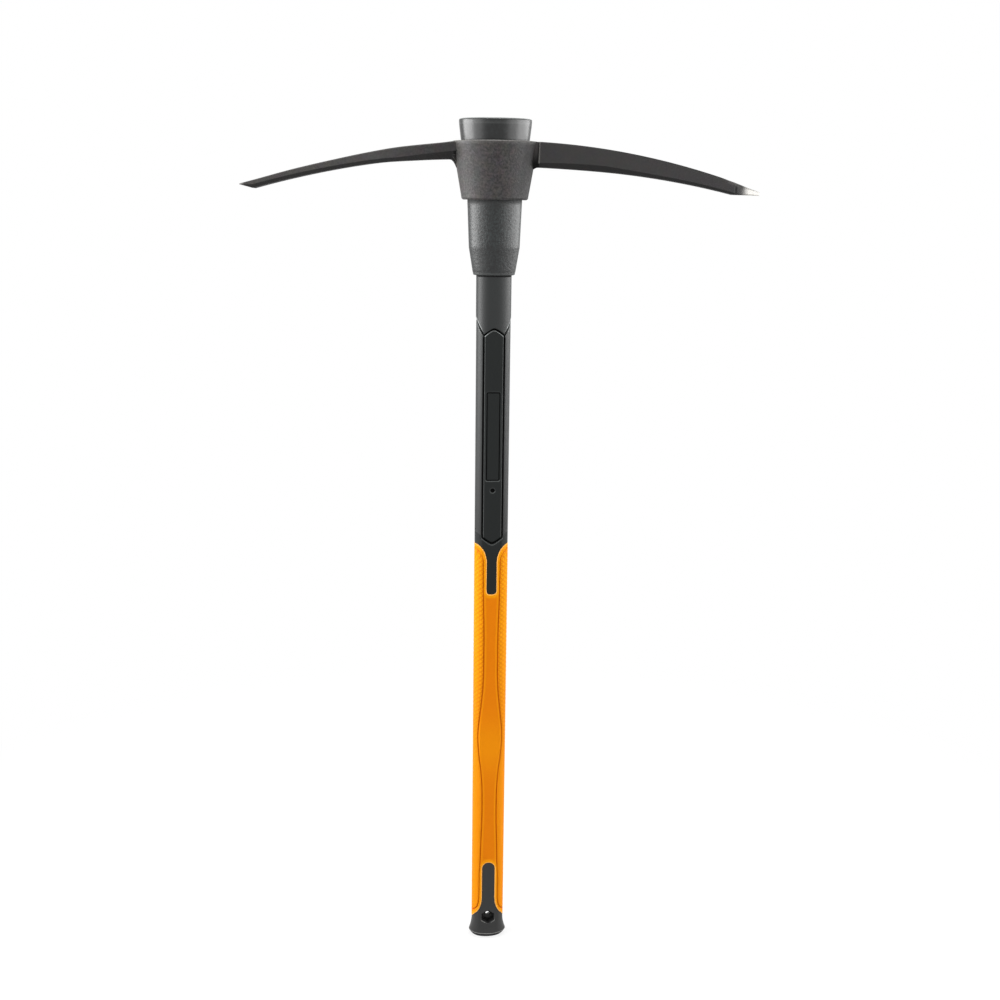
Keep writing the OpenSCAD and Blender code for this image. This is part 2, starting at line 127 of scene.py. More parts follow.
OVAL = 2.5  # power of the handle's ovals
jacket_half = (17.6, 13.2)  # half width and half depth of the flanks
neck_rise = 0.35
neck_groove, groove_width, groove_round = 1.5, 0.95, 0.8  # depth, half width and radius of the lips
groove_from_x = 10.6
flat_half = 11.8
pocket_half = 7.9
seam, end_seam = 1.8, 1.4  # round a panel's sides and its ends
panel_half = 9.6
panel_ends = (469.4, 693.2)
panel_point = 7.9
panel_bend = 3.2
panel_middle, panel_reach = sum(panel_ends) / 2, (panel_ends[1] - panel_ends[0]) / 2
panel_slant = math.hypot(panel_half, panel_point)
panel_straight = 103.0
notch_x, notch_z, notch_slope = 10.9, 688.4, 1.75
curl_x, curl = 14.0, 0.3  # the zigzag's ends curl up beyond this width
tongue_half = 5.1
tongue_round = 3.4
tongue_end_z = 412.3
grip_corner = (17.6, 446.5, 12.5, 20.9)  # its middle's width and height, and its two half axes
under_grip = 3.2
tube_top_z = 469.0
jacket_z = (404.0, 760.0)
lip_shade_z = 745.8
shade_run, shade_and_dulling = 110.0, 0.62  # painted shade: the flanks get darker and duller over this length, down to the grip


def ease(t):
    """Smooth step: nothing below 0, everything above 1, and 3t2 - 2t3 between."""
    t = np.clip(t, 0, 1)
    return t * t * (3 - 2 * t)


def bell(distance, width):
    """Bell curve: e to the power of minus the square of a distance over a width."""
    return np.exp(-(distance / width) ** 2)


def oval_depth(x, half):
    """Depth of an oval at a width x: |x/a|^p + |y/b|^p = 1 with the power p of the handle."""
    return half[1] * np.clip(1 - np.abs(x / half[0]) ** OVAL, 0, 1) ** (1 / OVAL)


def oval_ring(quarter, half):
    """Widths and depths round an oval from the widths of one quarter, front middle to side: the quarter is
    mirrored to the back and to the left. Front depths are negative, and the ring turns left from above."""
    x = np.concatenate([quarter, quarter[..., -2::-1], -quarter[..., 1:], -quarter[..., -2:0:-1]], -1)
    n = quarter.shape[-1]
    face = np.concatenate([-np.ones(n), np.ones(2 * n - 2), -np.ones(n - 2)])
    return x, face * oval_depth(x, half)


def oval_normal(x, y, half):
    """Outward direction across an oval: the gradient of |x/a|^p + |y/b|^p, brought to length 1."""
    nx = np.sign(x) * np.abs(x / half[0]) ** (OVAL - 1) / half[0]
    ny = np.sign(y) * np.abs(y / half[1]) ** (OVAL - 1) / half[1]
    size = np.hypot(nx, ny)
    return nx / size, ny / size


def side_widths(half, start, count):
    """Widths from start out to an oval's side at even steps of the angle, which crowd towards the side."""
    angle = np.linspace(np.arccos((start / half[0]) ** (OVAL / 2)), 0, count)
    return half[0] * np.cos(angle) ** (2 / OVAL)


def closed_mesh(name, shells, finish, sharp=40, marks=()):
    """Object from closed shells of rings in millimetres. Neighbouring rings are joined by quads, and end
    rings are closed by fans to their middles; a shell marked as a loop joins its last ring to its first."""
    points, faces, base = [], [], 0
    for rings, loop in shells:
        m, n, _ = rings.shape
        index = base + np.arange(m * n).reshape(m, n)
        low = index if loop else index[:-1]
        high = np.roll(index, -1, 0) if loop else index[1:]
        quads = np.stack([low, np.roll(low, -1, 1), np.roll(high, -1, 1), high], -1).reshape(-1, 4)
        faces += quads.tolist()
        points.append(rings.reshape(-1, 3))
        base += m * n
        if not loop:
            first, last = index[0], index[-1]
            faces += np.stack([np.roll(first, -1), first, np.full(n, base)], -1).tolist()
            faces += np.stack([last, np.roll(last, -1), np.full(n, base + 1)], -1).tolist()
            points.append(np.stack([rings[0].mean(0), rings[-1].mean(0)]))
            base += 2
    mesh = bpy.data.meshes.new(name)
    mesh.from_pydata(np.concatenate(points) * 0.001, [], faces)
    mesh.polygons.foreach_set("use_smooth", np.ones(len(mesh.polygons), dtype=bool))
    mesh.set_sharp_from_angle(angle=math.radians(sharp))
    for key, values in dict(marks).items():
        mesh.attributes.new(key, "FLOAT", "POINT").data.foreach_set("value", values.astype(np.float32))
    mesh.materials.append(finish)
    made = bpy.data.objects.new(name, mesh)
    bpy.context.collection.objects.link(made)
    return made


def panel_gap(x, z):
    """Distance outside a panel's outline: the larger of the distances to its side and to its slanted end,
    with the point rounded by taking the width as a hypotenuse."""
    width = np.hypot(x, panel_bend) - panel_bend
    end = ((np.abs(z - panel_middle) - panel_reach) * panel_half + width * panel_point) / panel_slant
    return np.maximum(end, np.abs(x) - panel_half)


def corner_gap(x, z, corner):
    """Distance outside the elliptical corner of the grip's pads, to first order: (q - 1) over its slope."""
    cx, cz, rx, rz = corner
    u, v = np.clip(cx - np.abs(x), 0, None) / rx, (z - cz) / rz
    q = np.hypot(u, v) + 1e-9
    return (q - 1) / (np.hypot(u / rx, v / rz) / q + 1e-9)


def upper_black_gap(x, z):
    """Distance outside the black area above the grip: pad corners, then a parallel tongue whose own corners
    are rounded."""
    over = np.abs(x) - tongue_half + tongue_round
    past = np.clip(tongue_end_z + tongue_round - z, 0, None)
    tip = np.where(over > 0, np.hypot(over, past), past) - tongue_round
    tongue = np.where(past > 0, tip, np.abs(x) - tongue_half)
    return np.where(z > grip_corner[1], -corner_gap(x, z, grip_corner), tongue)


def coats(tree, colour, layers):
    """Lays colours over a first one, each where the piece's attribute of that name says, the last on top.
    Gives the colour that shows and the output of each attribute."""
    shares = {}
    for name, code in layers.items():
        shares[name] = add(tree, "Attribute", {"attribute_name": name}).outputs["Fac"]
        colour = add(
            tree, "Mix", {"data_type": "RGBA", 7: linear(code)}, {0: shares[name], 6: colour},
        ).outputs[2]
    return colour, shares


def moulded_black(name, dark, light, bright_marks, roughness, specular):
    """Moulded polypropylene with a fine dull skin about 1 mm in grain, between a dark and a light black. Its
    roughness rises to 1 in sunk lines and wherever seam marks lay painted shade in black, and rim marks lay
    painted highlights in the colour given for them."""
    finish, tree, shader = new_finish(name)
    skin, black = grained(tree, {"Scale": 1000, "Detail": 2, "Roughness": 0.6}, dark, light)
    colour, shares = coats(tree, black, {"rim": bright_marks, "seam": "#000000"})
    gloss = add(tree, "MapRange", {"To Min": roughness, "To Max": 1.0}, {"Value": shares["seam"]})
    grain = add(tree, "Bump", {"Strength": 0.1, "Distance": 0.0002}, {"Height": skin})
    fit(
        tree, shader, {"IOR": 1.5, "Specular IOR Level": specular},
        {"Base Color": colour, "Roughness": gloss.outputs[0], "Normal": grain.outputs[0]},
    )
    return finish


# Moulded polypropylene, satin: black with a fine spark-eroded skin, drawn at 1.7 mm so that it shows.
# Painted highlights lie on edges (rim marks), and painted shade lies in black in grooves, pockets and
# shaded stretches (seam marks), where the roughness is raised too
satin_black, tree, shader = new_finish("polypropylene_black_satin")
skin, black = grained(tree, {"Scale": 600, "Detail": 2, "Roughness": 0.6}, "#030606", "#0a0f0f")
colour, shares = coats(tree, black, {"rim": "#b4b8b7", "seam": "#000000"})
place = add(tree, "TexCoord")
wear = add(tree, "TexNoise", {"Scale": 30, "Detail": 3}, {"Vector": place.outputs["Object"]})
satin = add(tree, "MapRange", {"To Min": 0.45, "To Max": 0.54}, {"Value": wear.outputs["Fac"]})
gloss = add(tree, "Math", {"operation": "MAXIMUM"}, {0: satin.outputs[0], 1: shares["seam"]})
grain = add(tree, "Bump", {"Strength": 0.3, "Distance": 0.0002}, {"Height": skin})
fit(
    tree, shader, {"IOR": 1.5, "Specular IOR Level": 0.43},
    {"Base Color": colour, "Roughness": gloss.outputs[0], "Normal": grain.outputs[0]},
)

# Moulded polypropylene, matt: black, with painted highlights on edges and painted shade in black in sunk
# lines and holes
matt_black = moulded_black("polypropylene_black_matt", "#040707", "#090e0d", "#b4b8b7", 0.5, 0.24)

quarter = np.concatenate([
    np.arange(0, 9.2, 0.42), np.arange(9.2, 12.4, 0.16), side_widths(jacket_half, 12.4, 22),
])
z = np.concatenate([
    np.arange(jacket_z[0], 470, 0.45), np.arange(470, 480, 0.35), np.arange(480, 684, 3.4),
    np.arange(684, 706, 0.35), np.linspace(706, 745, 9)[:-1], np.arange(745, 748.6, 0.4), jacket_z[1:],
])[:, None]
x, y = oval_ring(quarter, jacket_half)
nx, ny = oval_normal(x, y, jacket_half)
wide, deep = np.abs(x), np.abs(y)
zigzag = np.maximum(
    panel_ends[1] + 1.2 * end_seam - panel_point / panel_half * (np.hypot(x, panel_bend) - panel_bend),
    notch_z + notch_slope * (wide - notch_x) + curl * np.clip(wide - curl_x, 0, None) ** 2,
)
slope = np.gradient(zigzag) / (np.hypot(np.gradient(x), np.gradient(y)) + 1e-9)
from_zigzag = (z - zigzag) / np.hypot(1, slope)
beside = np.clip((np.abs(from_zigzag) - groove_width) / groove_round, 0, 1)
lip = groove_round * (1 - np.sqrt(1 - (1 - beside) ** 2))
in_groove = ease((groove_width - np.abs(from_zigzag)) / 0.3 + 0.5)
at_side = ease((wide - groove_from_x) / 0.8)
well = (neck_groove - groove_round) * in_groove
rise = neck_rise * ease(from_zigzag / 0.6 + 0.5) - (lip + well) * at_side
black_edge = upper_black_gap(x, z)
rise = rise - under_grip * ease(black_edge / 0.4) * (z < tube_top_z)
round_end = ease((np.abs(z - panel_middle) - panel_straight) / 3)
from_panel = panel_gap(x, z) + (seam - end_seam) * round_end
rise = rise - 0.2 * np.exp(-np.clip(from_panel - seam, 0, None) / 0.4)
flat = ease((panel_ends[0] + panel_point * wide / panel_half - z) / 0.6)
low = np.minimum(deep, flat_half)
face = deep + (low - deep) * flat
pocket = ease((seam - from_panel) / 0.4 + 0.5)
depth = (face + np.abs(ny) * rise) * (1 - pocket) + pocket_half * pocket
rings = np.stack([x + nx * rise * (1 - pocket), np.sign(y) * depth, z + 0 * x], -1)
# Painted highlights along both lips of the zigzag groove, stronger towards the sides, and just below the
# panel pocket's lower end
upper_lip = bell(from_zigzag - 1.5, 0.45)
lower_lip = bell(from_zigzag + 1.5, 0.4)
panel_lip = bell(from_panel - seam - 0.5, 0.4) * (z < 482) * (wide < panel_half + seam)
painted_highlight = ease((wide - 10.2) / 5) * (0.9 * upper_lip + 0.25 * lower_lip) + 0.12 * panel_lip
# Painted shade in black, with raised roughness: in the panel pockets and the zigzag groove, on the neck just
# below the sleeve's lip (a painted shadow), and on the flanks, darkening down to the grip
inside = np.maximum(pocket, in_groove * at_side)
inside = np.maximum(inside, ease((z - lip_shade_z) / 0.9))
above = z - panel_ends[0] + seam - panel_point * wide / panel_half
inside = np.maximum(inside, shade_and_dulling * ease((shade_run - above) / shade_run) * (above > 0))
marks = {key: np.concatenate([values.ravel(), [0, 0]]) for key, values in (("rim", painted_highlight), ("seam", inside))}
jacket = closed_mesh("handle_jacket_moulding", [(rings, False)], satin_black, 40, marks)
jacket.data.materials.append(matt_black)
middles = np.empty(3 * len(jacket.data.polygons))
jacket.data.polygons.foreach_get("center", middles)
middles = 1000 * middles.reshape(-1, 3)
below = middles[:, 2] < panel_ends[0] - seam + panel_point * np.abs(middles[:, 0]) / panel_half
jacket.data.polygons.foreach_set("material_index", below.astype(np.int32))
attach(jacket, "handle")
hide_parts("handle_jacket")


# Panels: two flat polypropylene inlays, pointed at both ends, pressed into the jacket's pockets front and
# back. Each has a sunk line round its bare label field and a blind locating hole from moulding.

panel_face = 11.8
panel_back = 8.0
side_round, end_bevel = 0.8, 1.3
label_half, label_z, label_round = 7.2, (536.4, 629.6), 1.6
line_width, line_depth = 1.1, 1.5  # the sunk line just inside the label field's edge
locator_z, locator_r, locator_depth = 526.0, 2.25, 1.6


def panel_width(z):
    """Half width of a panel at height z: where its outline's gap is nought, side or slanted rounded end."""
    room = (panel_reach - np.abs(z - panel_middle)) * panel_half / panel_point + panel_bend
    return np.minimum(np.sqrt(np.clip(room ** 2 - panel_bend ** 2, 0.05 ** 2, None)), panel_half)


share = np.concatenate([
    np.linspace(0, 0.58, 24), np.linspace(0.58, 0.8, 26)[1:], np.linspace(0.8, 0.87, 4)[1:],
    1 - 0.13 * np.linspace(1, 0, 14)[1:] ** 1.6,
])
share = np.concatenate([-share[:0:-1], share])
apex = np.concatenate([np.linspace(0.05, 1, 8) ** 2, np.arange(1.3, 10, 0.3)])
z = np.unique(np.concatenate([
    panel_ends[0] + apex, panel_ends[1] - apex, np.arange(480, 520, 3), np.arange(522, 530.1, 0.2),
    np.arange(534.4, 540, 0.2), np.arange(541, 626, 2.5), np.arange(626, 631.6, 0.2), np.arange(633, 686, 3),
]))
half = panel_width(z)[:, None]
x = share * half
z = z[:, None]
inside = np.clip(panel_half - np.abs(x), 0, side_round)
drop = side_round - np.sqrt(side_round ** 2 - (side_round - inside) ** 2)
reach = panel_reach - np.abs(z - panel_middle)
slanted = (reach * panel_half - (np.hypot(x, panel_bend) - panel_bend) * panel_point) / panel_slant
drop = np.maximum(drop, end_bevel * np.clip(1 - slanted / end_bevel, 0, 1) ** 1.2)
middle, tall = (label_z[0] + label_z[1]) / 2, (label_z[1] - label_z[0]) / 2
over_x, over_z = np.abs(x) - label_half + label_round, np.abs(z - middle) - tall + label_round
beyond = np.hypot(np.clip(over_x, 0, None), np.clip(over_z, 0, None))
from_label = beyond + np.minimum(np.maximum(over_x, over_z), 0) - label_round
line = ease((line_width / 2 - np.abs(from_label + line_width / 2)) / 0.25 + 0.5)
from_locator = np.hypot(x, z - locator_z) - locator_r
hole = ease(-from_locator / 0.3 + 0.5)
rim = bell(from_locator - 0.5, 0.35)
front = panel_face - drop - line_depth * line - locator_depth * hole + 0.12 * rim
back_x = np.linspace(1, -1, 13) * half
rings = np.concatenate([
    np.stack([x, -front, z + 0 * x], -1),
    np.stack([back_x, 0 * back_x - panel_back, z + 0 * back_x], -1),
], 1)
# Painted highlights on the bevel of the upper pointed end, faintly along the rounded sides, along the label
# line's edge and round the locating hole, both stronger below; painted shade in black in the label line and
# the hole
upper_bevel = ease((1.0 - slanted) / 0.25) * ease((slanted - 0.1) / 0.25) * (z > panel_middle)
painted_highlight = 0.6 * upper_bevel * (0.6 + 0.4 * ease(np.abs(x) / 4))
painted_highlight = np.maximum(painted_highlight, 0.07 * ease(inside / 0.2) * ease((side_round - inside) / 0.2))
edge = (0.03 + 0.12 * (z < label_z[0] + 1)) * bell(from_label - 0.5, 0.4)
painted_highlight = np.maximum(np.maximum(painted_highlight, edge), (0.04 + 0.1 * (z < locator_z - 0.8)) * rim)
marks = {key: np.concatenate([np.concatenate([values, 0 * back_x], 1).ravel(), [0, 0]]) for key, values in (
    ("rim", painted_highlight), ("seam", np.maximum(line, hole)))}
front_panel = closed_mesh("front_panel_inlay", [(rings, False)], matt_black, 40, marks)
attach(front_panel, "handle")
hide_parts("front_panel")
back_panel = closed_mesh("back_panel_inlay", [(rings * (-1, -1, 1), False)], matt_black, 40, marks)
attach(back_panel, "handle")
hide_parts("back_panel")


# Grip: orange thermoplastic rubber moulded over the jacket's tube. Two side pads with a weave of small
# slanted scales stand either side of a smooth strip, with a groove between. At both ends the strip makes
# room for a black tongue.

grip_half = (17.8, 13.6)
strip_flat = 11.9
grip_z = (22.6, 468.2)
cap_edge = np.array([
    (17.79, 23.7), (17.71, 24.6), (17.37, 26.2), (16.1, 29.4), (13.4, 32.9), (10.35, 37.6), (7.9, 44.2),
    (7.05, 51), (7, 58), (7, 70),
])
cap_tongue_half = 7.0
cap_tongue_end_z = 95.4
trough_depth, trough_half = 1.1, 0.6
pad_drop, drop_run = 0.35, 0.8  # the pads dip beside the groove
scale_pitch = (6.4, 4.95)  # round the handle and along it
scale_height = 0.3
scales_from_z, scales_run = 195, 110  # below this height they are faint
rim_round = 0.9
bulge_z = 237
strip_gap, edge_steps = 0.9, 7  # the mesh is fine from this far inside the groove
even_z = 100  # below this height the mesh's rows follow the cap's edge
groove_path = np.array([
    (33.9, 17.75), (35, 17), (38, 14.3), (41, 12.4), (44, 11.5), (50, 10.7), (60, 10.5), (79, 10.4),
    (95, 9.8), (110, 9.4), (130, 8.9), (145, 8.4), (160, 8.2), (175, 8.3), (190, 8.6), (200, 9.2), (210, 10),
    (221, 11.3), (233, 12.5), (246, 13.3), (258, 12.9), (274, 11.3), (283, 10.4), (293, 9.5), (303, 8.7),
    (315, 8.1), (340, 7.9), (372, 8.0), (390, 8.4), (404, 8.8), (425, 9), (439, 9.2), (447, 9.2), (451, 9.4),
    (455, 10.6), (459, 13), (461, 15.2), (462.6, 17.75),
])


def curve_through(path, z):
    """Cubic curve through (z, width) points: Hermite pieces with the points' own mean slopes."""
    slopes = np.gradient(path[:, 1], path[:, 0])
    z = np.clip(z, path[0, 0], path[-1, 0])
    i = np.clip(np.searchsorted(path[:, 0], z) - 1, 0, len(path) - 2)
    step = path[i + 1, 0] - path[i, 0]
    t = (z - path[i, 0]) / step
    return (
        path[i, 1] * (1 + 2 * t) * (1 - t) ** 2 + path[i + 1, 1] * t * t * (3 - 2 * t)
        + step * (slopes[i] * t * (1 - t) ** 2 + slopes[i + 1] * t * t * (t - 1))
    )


def face_arc(x):
    """Length along the grip's oval from the front middle out to a width x, read from a table of steps."""
    steps = grip_half[0] * np.cos(np.linspace(math.pi / 2, 0, 400)) ** (2 / OVAL)
    lengths = np.cumsum(np.hypot(np.diff(steps), np.diff(oval_depth(steps, grip_half))))
    return np.interp(np.abs(x), steps, np.concatenate([[0], lengths]))


def lower_black_gap(x, z):
    """Distance outside the black area below the grip, measured along the oval: the cap's shoulders, a
    parallel tongue, then its round end."""
    path = np.stack([cap_edge[:, 1], face_arc(cap_edge[:, 0])], -1)
    path = np.concatenate([[(grip_z[0], path[0, 1] + 4)], path])
    slope = curve_through(path, z + 0.2) / 0.4 - curve_through(path, z - 0.2) / 0.4
    end = cap_tongue_end_z - cap_tongue_half
    side = (face_arc(x) - curve_through(path, z)) / np.hypot(1, slope)
    return np.where(z < end, side, np.hypot(x, z - end) - cap_tongue_half)


# Thermoplastic rubber, orange: soft dull skin. Painted light makes it yellower on the pads, more so higher
# up, near the tongues, round the belly and along the strip's edges; painted shade makes it darker between
# the scales and in the grooves; painted highlights make it lighter along the rims beside the black tongues
orange_rubber, tree, shader = new_finish("rubber_orange_moulded")
skin, even = grained(tree, {"Scale": 625, "Detail": 2}, "#bc6500", "#c46b00")
colour, _ = coats(tree, even, {"pad": "#da9600", "hollow_shade": "#a64600", "rim": "#ffc070"})
grain = add(tree, "Bump", {"Strength": 0.1, "Distance": 0.0002}, {"Height": skin})
fit(
    tree, shader, {"Roughness": 0.6, "IOR": 1.5, "Specular IOR Level": 0.06},
    {"Base Color": colour, "Normal": grain.outputs[0]},
)

z = np.concatenate([
    np.arange(grip_z[0], 40, 0.5), np.arange(40, 84, 2.2), np.arange(84, 98, 0.5), np.arange(98, 195, 3),
    np.arange(195, 250, 1.1), np.arange(250, 408, 0.8), np.arange(408, 420, 0.5), np.arange(420, 444, 0.8),
    np.arange(444, grip_z[1], 0.5),
])[:, None]
strip_share = np.concatenate([np.linspace(0, 0.5, 6)[:-1], np.linspace(0.5, 0.88, 14), [0.94]])
turn = np.linspace(0, 1, 24)[1:]
flat = len(strip_share)
first = np.concatenate([strip_share, np.ones(edge_steps + len(turn))]) * groove_path[0, 1]
start = np.interp(first, cap_edge[7::-1, 0], cap_edge[7::-1, 1])
start = np.maximum(start - 3 * ease((first - 7.5) / 3) + 6 * (1 - ease((first - 5) / 2.5)), grip_z[0])
z = np.where(z < even_z, start + (z - grip_z[0]) * (even_z - start) / (even_z - grip_z[0]), z)
groove_x = curve_through(groove_path, z)
strip = strip_share * np.clip(groove_x[:, :flat] - strip_gap, 0, None)
beside = groove_x[:, flat:flat + edge_steps]
spread = np.clip((grip_half[0] - beside) / 2.2, 0, 1)
edge = beside - strip_gap + 0.3 * np.arange(edge_steps) * spread
angle = np.arccos(np.clip(edge[:, -1:] / grip_half[0], 0, 1) ** (OVAL / 2))
pad = grip_half[0] * np.clip(np.cos(angle * (1 - turn)), 0, 1) ** (2 / OVAL)
quarter = np.concatenate([strip, edge, pad], 1)
z = np.concatenate([z, z[:, -2::-1], z[:, 1:], z[:, -2:0:-1]], 1)
groove_x = curve_through(groove_path, z)
x, y = oval_ring(quarter, grip_half)
nx, ny = oval_normal(x, y, grip_half)
wide, deep = np.abs(x), np.abs(y)
slope = face_arc(curve_through(groove_path, z + 0.5)) - face_arc(curve_through(groove_path, z - 0.5))
from_groove = (face_arc(x) - face_arc(groove_x)) / np.hypot(1, slope)
beyond = np.maximum(z - groove_path[-1, 0], groove_path[0, 0] - z)
from_groove = np.where(beyond > 0, np.minimum(from_groove, -beyond), from_groove)
on_pad = ease(from_groove / 1.2 + 0.5)
falling, rising = (
    (0.5 + 0.5 * np.cos(2 * math.pi * (z / scale_pitch[1] + way * from_groove / scale_pitch[0]))) ** 2
    for way in (1, -1)
)
scale = 1 - np.maximum(falling, 0.75 * rising)
strength = (0.1 + 0.9 * ease((z - scales_from_z) / scales_run)) * (1 - 0.4 * ease((from_groove - 2) / 6))
padding = ease(from_groove / 0.8)
lift = scale_height * strength * (scale - 0.5) * padding
trough_fade = 1 - 0.7 * ease((z - 446) / 12)
trough = trough_fade * bell(from_groove, trough_half)
lift = lift - trough_depth * trough - pad_drop * np.exp(-np.clip(from_groove, 0, None) / drop_run) * on_pad
black_edge = np.minimum(upper_black_gap(x, z) + 1e3 * (z < 380), lower_black_gap(x, z) + 1e3 * (z > 120))
inner = np.clip(black_edge - 0.1, 0, rim_round)
rounding = rim_round - np.sqrt(rim_round ** 2 - (rim_round - inner) ** 2)
lift = lift - rounding - under_grip * ease((0.15 - black_edge) / 0.3)
level = np.minimum(deep, strip_flat)
depth = level + (deep - level) * on_pad
# Painted shade in the groove and between the scales, painted highlights along the rims by the black, and
# painted light: yellower on the pads and higher up, near the tongues, round the belly and along the strip's
# edges
hollow_shade = np.clip(trough_fade * bell(from_groove, 0.5) + 0.6 * strength * padding * (1 - scale), 0, 1)
rim = 0.7 * bell(black_edge - 0.5, 0.4)
painted_light = np.maximum(padding * (0.25 + 0.4 * ease((z - 170) / 250)), 0.5 * ease((6 - black_edge) / 4))
painted_light = np.maximum(painted_light, 0.25 * bell(z - bulge_z, 32))
painted_light = np.maximum(painted_light, 0.3 * bell(from_groove + 2.1, 0.9))
rings = np.stack([x + nx * lift, np.sign(y) * (depth + np.abs(ny) * lift), z], -1)
rings = np.concatenate([rings[:1] * (0.2, 0.2, 0) + (0, 0, 62), rings])
marks = {key: np.concatenate([values[0], values.ravel(), [0, 0]]) for key, values in (
    ("hollow_shade", hollow_shade), ("rim", rim), ("pad", painted_light))}
grip = closed_mesh("grip_overmould", [(rings, False)], orange_rubber, 60, marks)
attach(grip, "handle")
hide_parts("grip")


# End cap: black polypropylene moulding on the core's lower end. Its butt flares out, a tongue runs up each
# face into the grip, and a hang hole goes through a web at the bottom of a six-sided recess on each face.

cap_half = (17.6, 13.5)
butt_half = (20.8, 13.7)
butt_rim_z = 7.0
flare_top_z = 23.5
butt_chamfer = (6.4, 6.5)
hang_z = 27.3
hang_r = 2.5
web_y = (-3.8, -0.2)
recess = (6.97, 8.05)
mouth_grow = (1.16, 1.2)  # the recess widens to its mouth by so much, front and back

# Moulded polypropylene, half matt: a greyer black, with a painted highlight along the butt's rim and painted
# shade, dull and black, on the underside below it
cap_black = moulded_black("polypropylene_black_half_matt", "#0b0b0b", "#131312", "#d0d0cc", 0.48, 0.45)

z = np.concatenate([
    (butt_rim_z - 0.8) * (1 - np.cos(np.linspace(0, 1, 9) * math.pi / 2) ** 1.3)[:-1],
    butt_rim_z + np.array([-0.8, -0.5, -0.25, 0, 0.25, 0.55]),
    np.linspace(butt_rim_z + 0.9, flare_top_z, 28)[:-1], np.arange(flare_top_z, 54, 0.5),
    np.arange(54, 86, 2), np.arange(86, 98, 0.45),
])[:, None]
left = 1 - np.clip(1 - z / butt_rim_z, 0, 1)
climb = np.clip((z - butt_rim_z) / (flare_top_z - butt_rim_z), 0, 1)
flare = (1 - climb) ** 2
half_w = cap_half[0] + (butt_half[0] - cap_half[0]) * flare - butt_chamfer[0] * (1 - left ** 0.6)
half_d = cap_half[1] + (butt_half[1] - cap_half[1]) * flare - butt_chamfer[1] * (1 - left ** 0.8)
x, y = oval_ring(np.concatenate([np.arange(0, 9, 0.4), side_widths(cap_half, 9, 26)]), cap_half)
nx, ny = oval_normal(x, y, cap_half)
black_edge = lower_black_gap(x * half_w / cap_half[0], z)
drop = under_grip * ease(black_edge / 0.4) * (z > 22)
deep = np.minimum(np.abs(y) * half_d / cap_half[1], flat_half)
round_deep = half_d * np.sqrt(np.clip(1 - (x / cap_half[0]) ** 2, 0, 1))
deep = deep + (round_deep - deep) * flare
x = x * half_w / cap_half[0]
rings = np.stack([x - nx * drop, np.sign(y) * (deep - np.abs(ny) * drop), z + 0 * x], -1)
# A painted highlight along the butt's widest edge, and painted shade on the underside below it
rim = 0.4 * bell(z + 0 * x - butt_rim_z - 0.15, 0.22)
under = ease((butt_rim_z - z - 0.1 + 0 * x) / 0.4)
marks = {key: np.concatenate([values.ravel(), [values[0, 0], 0]]) for key, values in (
    ("rim", rim), ("seam", under))}
end_cap = closed_mesh("end_cap_moulding", [(rings, False)], cap_black, 35, marks)
point = recess[0] / math.sqrt(3)
hexagon = np.array([
    (0, -recess[1]), (recess[0], point - recess[1]), (recess[0], recess[1] - point),
    (0, recess[1]), (-recess[0], recess[1] - point), (-recess[0], point - recess[1]),
])
angle = np.linspace(0, 2 * math.pi, 49)[:-1]
circle = hang_r * np.stack([np.cos(angle), np.sin(angle)], -1)


def across_handle(outline, steps):
    """Rings of a cut along Y: a front outline in X and Z, repeated at each step's depth and scale."""
    return np.stack([
        np.stack([grow * outline[:, 0], np.full(len(outline), depth), hang_z + grow * outline[:, 1]], -1)
        for depth, grow in steps
    ])


front_wall = [
    (web_y[0], 1), (0.7 - flat_half, 1), (-0.5 - flat_half, mouth_grow[0]), (-30, mouth_grow[0]),
]
back_wall = [(30, mouth_grow[1]), (flat_half, mouth_grow[1]), (web_y[1], 1)]
cutters = [
    closed_mesh("recess_front_cut", [(across_handle(hexagon, front_wall), False)], cap_black),
    closed_mesh("recess_back_cut", [(across_handle(hexagon, back_wall), False)], cap_black),
    closed_mesh("hang_hole_cut", [(across_handle(circle, [(30, 1), (-30, 1)]), False)], cap_black),
]
for cutter in cutters:
    cut = end_cap.modifiers.new("cut", "BOOLEAN")
    cut.object, cut.operation, cut.solver = cutter, "DIFFERENCE", "EXACT"
cut_mesh = bpy.data.meshes.new_from_object(end_cap.evaluated_get(bpy.context.evaluated_depsgraph_get()))
end_cap.modifiers.clear()
end_cap.data = cut_mesh
places = np.empty(3 * len(cut_mesh.vertices))
cut_mesh.vertices.foreach_get("co", places)
x, y, z = 1000 * places.reshape(-1, 3).T
# A painted highlight along the lower edges of the front recess's mouth
within = np.maximum(np.abs(x) / recess[0], (np.abs(z - hang_z) + np.abs(x) * point / recess[0]) / recess[1])
mouth = (within < 1.13) * (np.abs(y + flat_half) < 0.05) * ease((hang_z - 1 - z) / 4)
edges = np.empty(len(x), dtype=np.float32)
cut_mesh.attributes["rim"].data.foreach_get("value", edges)
cut_mesh.attributes["rim"].data.foreach_set("value", np.maximum(edges, 0.2 * mouth).astype(np.float32))
for cutter in cutters:
    bpy.data.objects.remove(cutter)
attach(end_cap, "handle")
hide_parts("end_cap")


# Eye sleeve: black nylon moulded to fill the steel eye and bonded to the core. A flared cap stands above
# the head, a cone fits the eye, and a straight stretch below tapers to a lip round the neck.

